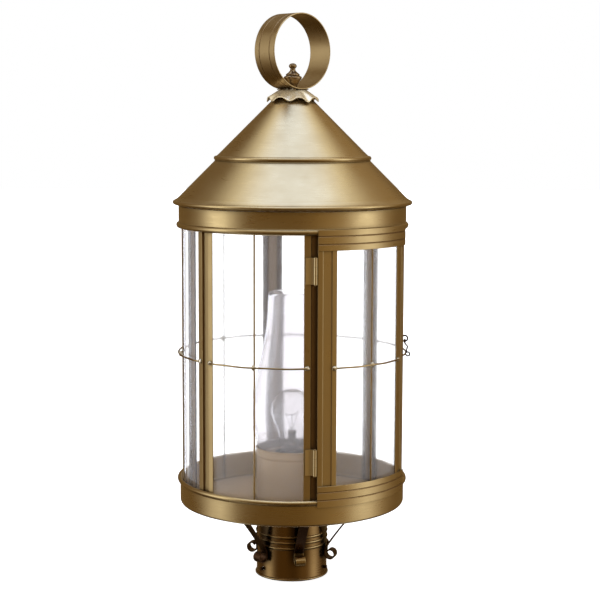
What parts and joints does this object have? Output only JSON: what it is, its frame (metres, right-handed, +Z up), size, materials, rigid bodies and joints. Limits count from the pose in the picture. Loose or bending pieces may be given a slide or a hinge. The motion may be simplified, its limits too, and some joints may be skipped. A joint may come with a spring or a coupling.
{
  "type": "post-top lantern",
  "caption": "Round post-top lantern: curved glass cage with a hinged door, stepped cone roof with hoop finial, glass chimney inside, and a slip collar with scroll brackets.",
  "frame": {"origin": "centre of the collar's mouth, where the post enters", "axes": "+Z up along the lantern's axis, the door faces -Y, the hoop's axis lies along Y"},
  "size_m": [0.2668, 0.2668, 0.6316],
  "materials": {
    "antique_brass": "aged satin brass, darker in the creases",
    "dark_brass": "darkened brass",
    "dark_bronze": "near-black bronze",
    "plated_steel": "zinc plated",
    "socket_moulding": "black phenolic",
    "cage_glass": "clear, slightly wavy",
    "chimney_glass": "clear blown",
    "bulb_glass": "clear"
  },
  "bodies": {
    "lantern": {"collar": "dark_brass", "pan": "antique_brass", "top_band": "antique_brass", "lower_cone": "antique_brass", "upper_cone": "antique_brass", "petal_cap": "antique_brass", "hoop": "antique_brass", "finial": "antique_brass", "finial_nut": "plated_steel", "post_1": "antique_brass", "post_2": "antique_brass", "post_3": "antique_brass", "post_4": "antique_brass", "post_5": "antique_brass", "post_6": "antique_brass", "pane_1": "cage_glass", "pane_2": "cage_glass", "pane_3": "cage_glass", "pane_4": "cage_glass", "pane_5": "cage_glass", "upright_wire_1": "antique_brass", "upright_wire_2": "antique_brass", "upright_wire_3": "antique_brass", "upright_wire_4": "antique_brass", "upright_wire_5": "antique_brass", "cross_wire_1": "antique_brass", "cross_wire_2": "antique_brass", "cross_wire_3": "antique_brass", "cross_wire_4": "antique_brass", "cross_wire_5": "antique_brass", "scroll_bracket_1": "dark_bronze", "scroll_bracket_2": "dark_bronze", "scroll_bracket_3": "dark_bronze", "scroll_bracket_4": "dark_bronze", "scroll_bracket_5": "dark_bronze", "scroll_bracket_6": "dark_bronze", "upper_hinge_post_leaf": "antique_brass", "upper_hinge_pin": "antique_brass", "lower_hinge_post_leaf": "antique_brass", "lower_hinge_pin": "antique_brass", "latch_eye": "dark_bronze", "pedestal": "dark_brass", "socket": "socket_moulding", "socket_bolt": "plated_steel", "bulb": "bulb_glass"},
    "door": {"door_top_band": "antique_brass", "door_bottom_band": "antique_brass", "door_hinge_stile": "antique_brass", "door_latch_stile": "antique_brass", "door_pane": "cage_glass", "door_upright_wire": "antique_brass", "door_cross_wire": "antique_brass", "upper_hinge_door_leaf": "antique_brass", "lower_hinge_door_leaf": "antique_brass"},
    "latch_hook": {"latch_hook": "dark_bronze"},
    "chimney": {"chimney": "chimney_glass"},
    "set_screw_1": {"set_screw_1": "dark_brass"},
    "set_screw_2": {"set_screw_2": "dark_brass"},
    "set_screw_3": {"set_screw_3": "dark_brass"}
  },
  "joints": [
    {"name": "door_hinge", "type": "hinge", "parent": "lantern", "child": "door", "pos_m": [-0.06538, -0.11144, 0.257], "axis": [0, 0, -1], "range_deg": [0, 110]},
    {"name": "latch_swing", "type": "hinge", "parent": "lantern", "child": "latch_hook", "pos_m": [0.07112, -0.10786, 0.2723], "axis": [-0.5505, 0.8348, 0], "range_deg": [0, 90]},
    {"name": "chimney_lift", "type": "slide", "parent": "lantern", "child": "chimney", "axis": [0, 0, 1], "range_m": [0, 0.075]},
    {"name": "set_screw_1_travel", "type": "slide", "parent": "lantern", "child": "set_screw_1", "axis": [0.9962, -0.0872, 0], "range_m": [0, 0.003]},
    {"name": "set_screw_2_travel", "type": "slide", "parent": "lantern", "child": "set_screw_2", "axis": [-0.4226, 0.9063, 0], "range_m": [0, 0.003]},
    {"name": "set_screw_3_travel", "type": "slide", "parent": "lantern", "child": "set_screw_3", "axis": [-0.5736, -0.8192, 0], "range_m": [0, 0.003]}
  ]
}
